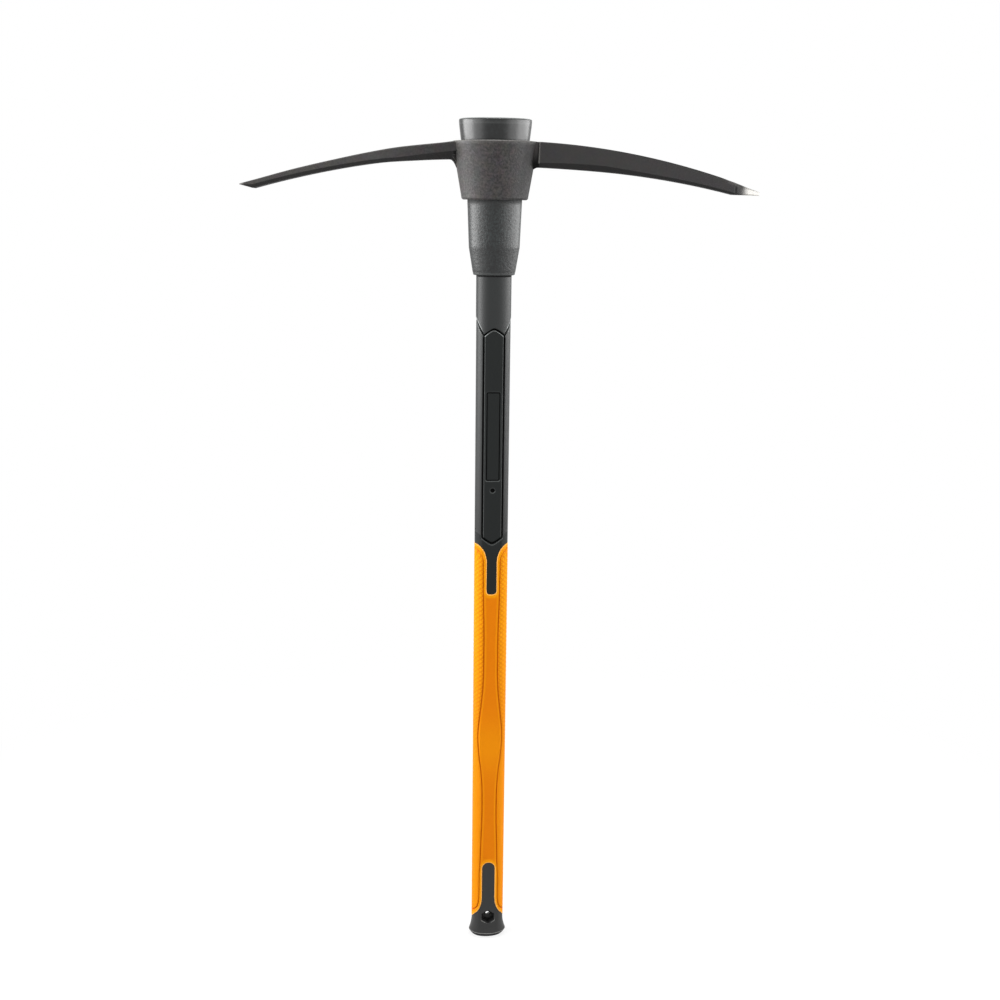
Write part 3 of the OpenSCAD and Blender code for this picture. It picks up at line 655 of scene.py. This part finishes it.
sleeve_depth = 0.75
lip_z = 748.0
sleeve_profile = np.array([
    (17.7, 760.0), (17.7, lip_z + 0.2), (20.0, lip_z), (20.85, lip_z + 0.25), (21.25, lip_z + 0.8),
    (21.3, lip_z + 2.0), (21.75, lip_z + 3.2), (25.4, 773.4), (25.7, 775.0), (25.8, 777.0), (27.47, 820.0),
    (27.45, 822.0), (27.6, 824.0), (35.85, 892.9), (35.9, 893.7), (36.02, 894.4),
])
cap_r = 36.2
cap_round = 1.7
cap_top = 900.0
cap_crown = 0.3
cap_rim_z, cap_step_z = 898.6, 894.5
smooth_from_z, smooth_run = 838, 24  # the skin gets smoother towards the cap
collar_shadow_z = (812, 828)
taper_top_z = 779


def fill(path, step):
    """Points along a broken line at steps of no more than a given length, corners kept."""
    counts = np.ceil(np.hypot(*np.diff(path, axis=0).T) / step).astype(int)
    runs = [np.linspace(a, b, max(2, n + 1))[:-1] for a, b, n in zip(path, path[1:], counts)]
    return np.concatenate(runs + [path[-1:]])


def carried_round(profile, angle, depth):
    """Rings of a profile of (radius, height) points carried round an oval whose depth is a share of its
    width: radius times cosine, share times radius times sine, and the height."""
    radius, height = profile[:, :1], profile[:, 1:]
    return np.stack([radius * np.cos(angle), depth * radius * np.sin(angle), height + 0 * angle], -1)


# Moulded nylon, satin: black with a grained skin of about 2.2 mm that breaks up its bright side bands. The
# cap above the head is smoother. Painted highlights lie on its rim, faintly at its step and on the lip; a
# painted shadow under the collar and painted shade on the taper are dark and dull
satin_nylon, tree, shader = new_finish("nylon_black_satin")
place = add(tree, "TexCoord")
skin = add(
    tree, "TexNoise", {"Scale": 450, "Detail": 2, "Roughness": 0.6},
    {"Vector": place.outputs["Object"]},
)
specks = add(tree, "MapRange", {"From Min": 0.36, "From Max": 0.66}, {"Value": skin.outputs["Fac"]})
smooth = add(tree, "Attribute", {"attribute_name": "smooth"})
fleck = add(tree, "MapRange", {"To Min": 1.0, "To Max": 0.35}, {"Value": smooth.outputs["Fac"]})
flecks = add(tree, "Math", {"operation": "MULTIPLY"}, {0: specks.outputs[0], 1: fleck.outputs[0]})
black = add(
    tree, "Mix", {"data_type": "RGBA", 6: linear("#010101"), 7: linear("#1b2121")},
    {0: flecks.outputs[0]},
)
colour, shares = coats(tree, black.outputs[2], {"rim": "#b4b8b7", "seam": "#000000"})
satin = add(tree, "MapRange", {"To Min": 0.39, "To Max": 0.3}, {"Value": smooth.outputs["Fac"]})
gloss = add(tree, "Math", {"operation": "MAXIMUM"}, {0: satin.outputs[0], 1: shares["seam"]})
rough = add(tree, "MapRange", {"To Min": 1.0, "To Max": 0.15}, {"Value": smooth.outputs["Fac"]})
grain = add(
    tree, "Bump", {"Distance": 0.0003},
    {"Height": skin.outputs["Fac"], "Strength": rough.outputs[0]},
)
fit(
    tree, shader, {"IOR": 1.5, "Specular IOR Level": 0.46},
    {"Base Color": colour, "Roughness": gloss.outputs[0], "Normal": grain.outputs[0]},
)

angle = np.linspace(0, 2 * math.pi, 193)[:-1]
bend = np.linspace(0, math.pi / 2, 12)
top_edge = np.stack([
    cap_r - cap_round * (1 - np.cos(bend)), cap_top - cap_crown - cap_round * (1 - np.sin(bend)),
], -1)
crown_r = np.linspace(cap_r - cap_round, 1.5, 12)[1:]
crown = np.stack([crown_r, cap_top - cap_crown * (crown_r / (cap_r - cap_round)) ** 2], -1)
profile = np.concatenate([fill(np.concatenate([sleeve_profile, top_edge[:1]]), 4)[:-1], top_edge, crown])
rings = carried_round(profile, angle, sleeve_depth)
radius, height = profile.T
smooth = ease((height - smooth_from_z) / smooth_run)
# Painted highlights on the cap's rim, faintly at its step and on the lip; a painted shadow under the collar
# and painted shade on the taper, both dark and dull
cap_rim = ease((height - cap_rim_z) / 0.5) * ease((radius - cap_r + cap_round + 2) / 1.5)
lip_rim = bell(height - lip_z - 1.4, 0.7) * (radius > 21)
painted_highlight = 0.4 * cap_rim + 0.12 * lip_rim + 0.04 * bell(height - cap_step_z, 0.4)
collar_shadow = ease((height - collar_shadow_z[0]) / 9) * ease((collar_shadow_z[1] - height) / 5)
dull = 0.7 * collar_shadow + 0.45 * ease((taper_top_z - height) / 4)
marks = {key: np.concatenate([np.repeat(values, len(angle)), values[[0, -1]]]) for key, values in (
    ("smooth", smooth), ("rim", painted_highlight), ("seam", dull))}
sleeve = closed_mesh("eye_sleeve_moulding", [(rings, False)], satin_nylon, 50, marks)
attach(sleeve, "handle")
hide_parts("eye_sleeve")


# Head: one steel forging, blackened and shot-blasted. An oval collar has the tapered eye; a slim arm on the
# left ends in a chisel with a bevel ground underneath, and a deeper arm on the right ends in a ground point.

collar_z = (822.0, 878.5)
collar_r = (33.5, 42.75)
eye_r = (27.9, 34.6)
collar_depth = 0.78
collar_edges = (2.5, 1.1)  # radii of its lower and upper edge
arm_top = 878.1
root_x = 44.0
arm_start = 31.0
chisel = {
    "end": 237.1, "reach": 249.6, "root_h": 16.8, "end_h": 7.8, "drop": 38.7, "back": 0.42, "belly": 0.12,
    "half": (11.0, 20.0), "web": 25.0,
}
spike = {
    "end": 242.5, "reach": 270.0, "root_h": 24.8, "end_h": 13.2, "drop": 35.7, "back": 0.24, "belly": 0.13,
    "half": (15.0, 7.5), "web": 5.0,
}
web_out, web_run = 2, 13  # a web starts this far outside the root and is deepest this much further in
rib_half = (4.6, 2.0)
shoulder_x = 40.8
ridge_x, ridge_band = 97, 3.1  # where the chisel arm's slanted band gets even, and its height there
chisel_back = np.array([
    (37, 0.2), (52, 1.0), (75, 1.1), (97, 0.9), (128, 1.5), (158, 2.05), (200, 1.95), (235, 1.55),
    (250, 0.9),
])
chisel_belly = np.array([(44, 0.7), (80, 0.75), (112, 0.2), (128, 0.4), (160, 0.9), (200, 1.2), (238, 1.1)])
spike_belly = np.array([(44, 0.7), (63, 0.4), (94, 0.3), (126, 0.6), (157, 0.8), (220, 0.85), (243, 0.7)])
spike_band = np.array([(44, 3.8), (78, 5.0), (104, 5.2), (132, 3.9), (157, 3.0), (209, 2.3), (243, 1.6)])


def fall(t, straight):
    """Share of an arm's drop at a share t of its length: a straight slope, then a parabola for the rest."""
    return straight * t + (1 - straight) * t * t


def rounded(corners, reach, steps=5):
    """Closed sections with rounded corners: each corner becomes a parabola between two points that lie a
    given distance along its edges, at most 0.4 of an edge, with one point more beyond each end to keep the
    faces between corners flat."""
    before, after = np.roll(corners, 1, 1) - corners, np.roll(corners, -1, 1) - corners
    t = np.linspace(0, 1, steps)[:, None]

    def along(edge, far):
        size = np.linalg.norm(edge, axis=-1) + 1e-9
        return (corners + (far * np.minimum(reach / size, 0.4))[..., None] * edge)[:, :, None]

    middle = 2 * t * (1 - t) * corners[:, :, None]
    curve = (1 - t) ** 2 * along(before, 1) + middle + t ** 2 * along(after, 1)
    curve = np.concatenate([along(before, 1.2), curve, along(after, 1.2)], 2)
    return curve.reshape(len(corners), -1, 2)


def arm_sections(x, top, bottom, half, band, web, facet, ear):
    """Rings of an arm across X: flat back, upright sides, and a slanted band to a narrower underside. Where
    the web hangs down the band becomes an upright rib with a chamfer under it. Facet widens the upper edges,
    ear sets them out, and the root leans outwards with the eye, so that it ends inside the collar's wall."""
    blend = ease(2.5 * web / 25)[:, None]
    rib, thin, drop = rib_half[0] + 0 * x, rib_half[1] + 0 * x, bottom - web
    side = np.stack([half, bottom + band], -1)
    foot = np.stack([half - 0.6 * band, drop], -1) * (1 - blend) + np.stack([thin, drop], -1) * blend
    upper = (side * 2 + foot) / 3 * (1 - blend) + np.stack([rib, bottom + band - 1.5], -1) * blend
    lower = (side + foot * 2) / 3 * (1 - blend) + np.stack([rib, drop + 2.6], -1) * blend
    crown = np.stack([half + ear, top], -1)
    right = [foot, lower, upper, side, crown]
    corners = np.stack(right + [corner * (-1, 1) for corner in right[::-1]], 1)
    reach = np.array([0.8, 0.5, 0.5, 0.7, 1.3])[:, None] * np.clip((top - bottom) / 9, 0.1, 1)
    reach[4] += facet
    section = rounded(corners, np.concatenate([reach, reach[::-1]]).T)
    eye = np.interp(section[..., 1], collar_z, eye_r)
    lean = np.clip((root_x - x) / (root_x - arm_start), 0, 1)[:, None] * (eye + 1.5 - arm_start)
    return np.concatenate([(x[:, None] + lean)[..., None], section], -1)


# Forged steel, blackened and shot-blasted: warm dark grey with a pitted skin, grain drawn at 2.3 mm so that
# it shows. The scale marks darken the arms and make them duller; on the undersides, the lower bands, the
# hollows at the roots, the crease by the point's shoulder and the collar's right side this is painted shade.
# The cutting ends are ground bright, and the ground marks also lay painted highlights on edges, on the
# point's shoulder and along the collar's top edge, and painted light on the collar's left side
forged_steel, tree, shader = new_finish("steel_forged_blackened")
place = add(tree, "TexCoord")
pits = add(
    tree, "TexNoise", {"Scale": 430, "Detail": 3, "Roughness": 0.6},
    {"Vector": place.outputs["Object"]},
)
patches = add(tree, "TexNoise", {"Scale": 110, "Detail": 4}, {"Vector": place.outputs["Object"]})
specks = add(tree, "MapRange", {"From Min": 0.36, "From Max": 0.66}, {"Value": pits.outputs["Fac"]})
blasted = add(tree, "Attribute", {"attribute_name": "blasted"})
flecks = add(tree, "Mix", {"data_type": "FLOAT", 2: 0.5}, {0: blasted.outputs["Fac"], 3: specks.outputs[0]})
grey = add(
    tree, "Mix", {"data_type": "RGBA", 6: linear("#1a1818"), 7: linear("#3d3939")},
    {0: flecks.outputs[0]},
)
patchy = add(
    tree, "Mix", {"data_type": "RGBA", "blend_type": "MULTIPLY", 0: 0.5},
    {6: grey.outputs[2], 7: patches.outputs["Color"]},
)
colour, shares = coats(tree, patchy.outputs[2], {"scale": "#060606", "ground": "#a8a6a2"})
rough = add(tree, "MapRange", {"To Min": 0.5, "To Max": 0.28}, {"Value": shares["ground"]})
metal = add(tree, "MapRange", {"To Min": 0.0, "To Max": 0.35}, {"Value": shares["ground"]})
deep = add(tree, "MapRange", {"To Min": 0.1, "To Max": 0.9}, {"Value": blasted.outputs["Fac"]})
blast = add(
    tree, "Bump", {"Distance": 0.0003},
    {"Height": pits.outputs["Fac"], "Strength": deep.outputs[0]},
)
dull = add(tree, "Math", {"operation": "MAXIMUM"}, {0: rough.outputs[0], 1: shares["scale"]})
fit(tree, shader, {"Specular IOR Level": 0.33}, {
    "Base Color": colour, "Roughness": dull.outputs[0], "Metallic": metal.outputs[0],
    "Normal": blast.outputs[0],
})

bend = np.linspace(-math.pi / 2, 0, 8)
low_edge = np.stack([
    collar_r[0] - collar_edges[0] * (1 - np.cos(bend)), collar_z[0] + collar_edges[0] * (1 + np.sin(bend)),
], -1)
high_edge = np.stack([
    collar_r[1] - collar_edges[1] * (1 - np.cos(bend + math.pi / 2)),
    collar_z[1] - collar_edges[1] * (1 - np.sin(bend + math.pi / 2)),
], -1)
profile = np.concatenate([
    [(eye_r[0], collar_z[0] + 0.6), (eye_r[0] + 0.6, collar_z[0])], low_edge,
    fill(np.array([low_edge[-1], high_edge[0]]), 3)[1:-1], high_edge,
    [(eye_r[1] + 0.6, collar_z[1]), (eye_r[1], collar_z[1] - 0.6)],
    fill(np.array([(eye_r[1], collar_z[1] - 0.6), (eye_r[0], collar_z[0] + 0.6)]), 6)[1:-1],
])
radius, height = profile[:, :1], profile[:, 1:]
in_eye = radius < 0.5 * (np.interp(height, collar_z, eye_r) + np.interp(height, collar_z, collar_r))
collar = carried_round(profile, angle, np.where(in_eye, sleeve_depth, collar_depth))
# Painted highlight along the collar's top edge and painted light on its left side; painted shade on its
# right side
collar_painted_light = (0.4 * bell(height - collar_z[1], 0.8) + 0.045 * ease(-np.cos(angle) / 0.9)) * ~in_eye
collar_painted_shade = 0.6 * ease((np.cos(angle) - 0.3) / 0.4) * ~in_eye


def arm_shape(arm, x):
    """Top, underside and half width of an arm at distances x from the axis, as if its end weren't ground,
    then how far its web hangs down and the share of its ground end that is passed. The drop follows fall,
    the width is straight, and the web is a power of the way in from the root."""
    t = np.clip((x - root_x) / (arm["end"] - root_x), 0, None)
    belly = arm["drop"] + arm["end_h"] - arm["root_h"]
    top = arm_top - arm["drop"] * fall(t, arm["back"])
    bottom = arm_top - arm["root_h"] - belly * fall(t, arm["belly"])
    half = arm["half"][0] + (arm["half"][1] - arm["half"][0]) * np.clip(t, 0, 1)
    web = arm["web"] * np.clip((root_x + web_out - x) / web_run, 0, 1) ** 2.7
    past = np.clip((x - arm["end"]) / (arm["reach"] - arm["end"]), 0, 1)
    return top, bottom, half, web, past


def corner_marks(x, corners):
    """Marks round an arm's rings: for each of the five corners of a side the values before it, on it and
    after it, with means between, mirrored to the other side."""
    spread = np.array([(1, 0, 0), (1, 0, 0), (0.5, 0.5, 0), (0, 1, 0), (0, 0.5, 0.5), (0, 0, 1), (0, 0, 1)])
    side = np.stack([np.stack([value + 0 * x for value in corner], 1) for corner in corners], 1) @ spread.T
    side = side.reshape(len(x), -1)
    return np.concatenate([side, side[:, ::-1]], 1)


x = np.concatenate([
    np.linspace(arm_start, 47, 33)[:-1], np.linspace(47, chisel["end"] - 1.5, 60)[:-1],
    chisel["end"] + np.linspace(-1.5, 1.5, 7)[:-1], np.linspace(chisel["end"] + 1.5, chisel["reach"], 12),
])
top, bottom, half, web, past = arm_shape(chisel, x)
top, bottom = top - curve_through(chisel_back, x), bottom - curve_through(chisel_belly, x)
end_low = np.interp(chisel["end"], x, bottom)
bottom = np.where(past > 0, end_low + (top[-1] - 0.7 - end_low) * past, bottom)
band = ridge_band + np.where(x < ridge_x, 4.3 * (ridge_x - x) / 53, 0.1 * (x - ridge_x) / 140)
chisel_arm = arm_sections(x, top, bottom, half, band * (1 - past), web, 0 * x, 0)[::-1] * (-1, 1, 1)
ribbed = ease(web / 4)
outer = ease((x - 60) / 70)
# Painted shade darkens the chisel arm's lower band, its web and its faces near the root; painted highlights
# lie along the web's ridge and the upper edges
low, face, back = 0.78, 0.25 * (1 - outer), 0.032 * outer
dark = corner_marks(x, [(low, low, low)] * 3 + [(low, low, face), (face, 0, 0)])
bright_marks = corner_marks(x, [
    (0, 0, 0), (0, 0.7 * ribbed, 0.12 * ribbed), (0.12 * ribbed, 0.4 * ribbed, 0), (0, 0, back),
    (back, 0.1, 0.06),
])
tip = ease((x - chisel["reach"] + 5.5) / 5)
tip_marks = (0.1, 0.1, 0.2, 0.3, 0.5, 0.8)  # how bright the ground tip is, from the underside up, its lower faces darker as painted shade
bright_marks = np.maximum(bright_marks, corner_marks(x, [
    (under * tip, over * tip, over * tip) for under, over in zip(tip_marks, tip_marks[1:])
]))
chisel_marks = np.clip(dark, 0, 1)[::-1], bright_marks[::-1]

x = np.concatenate([
    np.linspace(arm_start, 40, 12)[:-1], np.linspace(40, 46, 25)[:-1],
    np.linspace(46, spike["end"] - 16, 60)[:-1],
    np.linspace(spike["end"] - 16, spike["end"] - 0.6, 14)[:-1],
    np.linspace(spike["end"] - 0.6, spike["end"] + 0.6, 5)[:-1],
    np.linspace(spike["end"] + 0.6, spike["reach"], 24),
])
top, bottom, half, web, past = arm_shape(spike, x)
bottom = bottom + curve_through(spike_belly, x)
notch = 1 - ease((x - shoulder_x) / 1.4)
half = half - 4 * notch
end_top, end_low, end_half = (np.interp(spike["end"], x, line) for line in (top, bottom, half))
tip_low = end_low - 0.6
top = np.where(past > 0, end_top + (tip_low + 3.6 - end_top) * past, top)
bottom = np.where(past > 0, end_low + (tip_low - end_low) * past, bottom)
half = np.where(past > 0, end_half * (1 - past) + 1.3 * past, half)
band = np.minimum(curve_through(spike_band, x) * (1 - 0.6 * past), 0.6 * (top - bottom))
facet = 3.0 * ease((x - 228) / 12) * (1 - past)
spike_arm = arm_sections(x, top, bottom, half, band, web, facet, 3.5 * notch)
# Painted shade: in the gap behind the point's shoulder, as a dark line in its crease, and on the lower band
# and underside; painted highlights: a line on the shoulder, the upper facet and a faint line where the
# ground end begins. The top edge is darker along its middle, with a darker line just past the start of the
# ground end
gap = 1 - ease(x - shoulder_x + 0.2)
shoulder_highlight = bell(x - shoulder_x - 1, 0.6)
crease_shade = bell(x - shoulder_x + 0.6, 0.6)
ends = np.clip(1 - past / 0.6, 0, 1)
dark_end_line = 0.5 * bell(x - spike["end"] - 1.4, 0.8) + 0.25 * ease(past / 0.1) * ends
low, face, crown = 0.85 * ends + gap, 0.55 * ends + dark_end_line, crease_shade + 0.3 * (1 - past)
dark_top = 0.9 * ease((x - 80) / 50) * ease((240 - x) / 14)
dark = corner_marks(x, [(low, low, low)] * 3 + [
    (low, low, face + gap), (face * (1 - gap) + crease_shade, crease_shade + dark_top, crown),
])
bright = 0.5 * shoulder_highlight + 0.036 * bell(x - spike["end"] - 0.3, 0.5)
bright_marks = corner_marks(x, [(0, 0, 0)] * 3 + [(0, bright, bright), (bright, bright + 0.02 * facet, 0)])
slant = (spike_arm[..., 2] - bottom[:, None]) / (top - bottom)[:, None]
bright = ease((x[:, None] - spike["end"] - 5.5 - 3 * slant) / (12 - 5 * slant))
spike_marks = np.clip(dark, 0, 1) * (1 - bright), np.maximum(bright_marks, bright)
shells = [(collar, True), (chisel_arm, False), (spike_arm, False)]
marks = {
    "blasted": np.concatenate([
        np.ones(collar_painted_shade.size), np.full(chisel_marks[0].size + 2, 0.45),
        np.full(spike_marks[0].size + 2, 0.15),
    ]),
    "scale": np.concatenate([
        collar_painted_shade.ravel(), chisel_marks[0].ravel(), [0, 0], spike_marks[0].ravel(), [0, 0],
    ]),
    "ground": np.concatenate([
        collar_painted_light.ravel(), chisel_marks[1].ravel(), [0.5, 0], spike_marks[1].ravel(), [0, 1],
    ]),
}
head = closed_mesh("pick_head_forging", shells, forged_steel, 40, marks)
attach(head, "head")
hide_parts("pick_head")


# Studio: a pale floor that fades into a white surround, a large soft light on each side, the left one
# stronger, weak fills in front of them, a small light above, and the camera a little below the head's top.

def background_rays(tree):
    """1 for rays that show the background, straight, mirrored or through glass, 0 for those that light."""
    rays = add(tree, "LightPath")
    seen = add(
        tree, "Math", {"operation": "MAXIMUM"},
        {0: rays.outputs["Is Camera Ray"], 1: rays.outputs["Is Glossy Ray"]},
    )
    return add(
        tree, "Math", {"operation": "MAXIMUM"},
        {0: seen.outputs[0], 1: rays.outputs["Is Transmission Ray"]},
    )


floor_mesh = bpy.data.meshes.new("studio_floor")
floor_mesh.from_pydata([(-6, -6, 0), (6, -6, 0), (6, 6, 0), (-6, 6, 0)], [], [(0, 1, 2, 3)])
floor = bpy.data.objects.new("studio_floor", floor_mesh)
bpy.context.collection.objects.link(floor)
paper = bpy.data.materials.new("paper_white_matt")
paper.use_nodes = True
tree = paper.node_tree
tree.nodes.clear()
seen = background_rays(tree)
place = add(tree, "TexCoord")
away = add(tree, "VectorMath", {"operation": "LENGTH"}, {0: place.outputs["Object"]})
fade = add(
    tree, "MapRange", {"From Min": 0.3, "From Max": 0.9, "interpolation_type": "SMOOTHSTEP"},
    {"Value": away.outputs["Value"]},
)
glow = add(tree, "Emission", {"Color": (1, 1, 1, 1), "Strength": 0.74})
faint = add(tree, "BsdfDiffuse", {"Color": (0.24, 0.24, 0.24, 1)})
near = add(tree, "AddShader", links={0: glow.outputs[0], 1: faint.outputs[0]})
white = add(tree, "Emission", {"Color": (1, 1, 1, 1), "Strength": 1})
shown = add(tree, "MixShader", links={0: fade.outputs[0], 1: near.outputs[0], 2: white.outputs[0]})
matt = add(tree, "BsdfDiffuse", {"Color": linear("#e6e6e6")})
mixed = add(tree, "MixShader", links={0: seen.outputs[0], 1: matt.outputs[0], 2: shown.outputs[0]})
add(tree, "OutputMaterial", links={"Surface": mixed.outputs[0]})
floor_mesh.materials.append(paper)

world = bpy.data.worlds.new("studio_surround")
bpy.context.scene.world = world
world.use_nodes = True
tree = world.node_tree
tree.nodes.clear()
seen = background_rays(tree)
level = add(tree, "MapRange", {"To Min": 0.38, "To Max": 1}, {"Value": seen.outputs[0]})
sky = add(tree, "Background", {"Color": (1, 1, 1, 1)}, {"Strength": level.outputs[0]})
add(tree, "OutputWorld", links={"Surface": sky.outputs[0]})


def set_up(name, data, right, up, away, place):
    """Puts a lamp or camera at a place, with its own three axes as the columns of its turn."""
    made = bpy.data.objects.new(name, data)
    bpy.context.collection.objects.link(made)
    turn = np.eye(4)
    turn[:3] = np.stack([right, up, away, place], 1)
    made.matrix_world = Matrix(turn)
    return made


def soft_light(name, place, aim, width, height, power):
    """A rectangular soft light at a place, turned to face a point, hidden from the camera."""
    lamp = bpy.data.lights.new(name, "AREA")
    lamp.shape, lamp.size, lamp.size_y, lamp.energy = "RECTANGLE", width, height, power
    away = np.array(place) - np.array(aim)
    away = away / np.linalg.norm(away)
    right = np.cross((0, 0, 1), away)
    right = right / np.linalg.norm(right)
    set_up(name, lamp, right, np.cross(away, right), away, place).visible_camera = False


soft_light("softbox_left", (-2.0, -0.1, 0.92), (0, 0, 0.92), 1.7, 0.95, 65)
soft_light("softbox_right", (2.0, 0.0, 0.92), (0, 0, 0.92), 2.2, 0.95, 48)
soft_light("fill_left", (-1.6, -1.35, 0.95), (0, 0, 0.95), 1.2, 1.0, 13)
soft_light("fill_right", (1.6, -1.35, 0.95), (0, 0, 0.95), 1.4, 1.0, 15)
soft_light("softbox_above", (0, -0.55, 2.2), (0, 0, 0.6), 0.8, 0.8, 14)


def turned(a, b, angle):
    """Two axes turned in their plane, the first towards the second: cosine of the one plus sine of the
    other, and cosine of the other less sine of the one."""
    return math.cos(angle) * a + math.sin(angle) * b, math.cos(angle) * b - math.sin(angle) * a


camera = bpy.data.cameras.new("photo_camera")
camera.sensor_width, camera.lens = 36, 45.07
eye_z, eye_away = 0.821, 1.289  # metres above the floor and from the handle's axis
yaw, pitch, roll = math.radians(5), math.radians(13.43), math.radians(0.62)
pan = math.atan(8.5 / 1252)  # the tool stands so many pixels off the middle, at this focal length in pixels
right, back, up = np.eye(3)
look, right = turned(back, right, yaw)
stand = eye_z * up - eye_away * look
up, look = turned(up, look, pitch)
look, right = turned(look, right, pan)
right, up = turned(right, up, roll)
bpy.context.scene.camera = set_up("photo_camera", camera, right, up, -look, stand)
bpy.context.scene.view_settings.view_transform = "Standard"
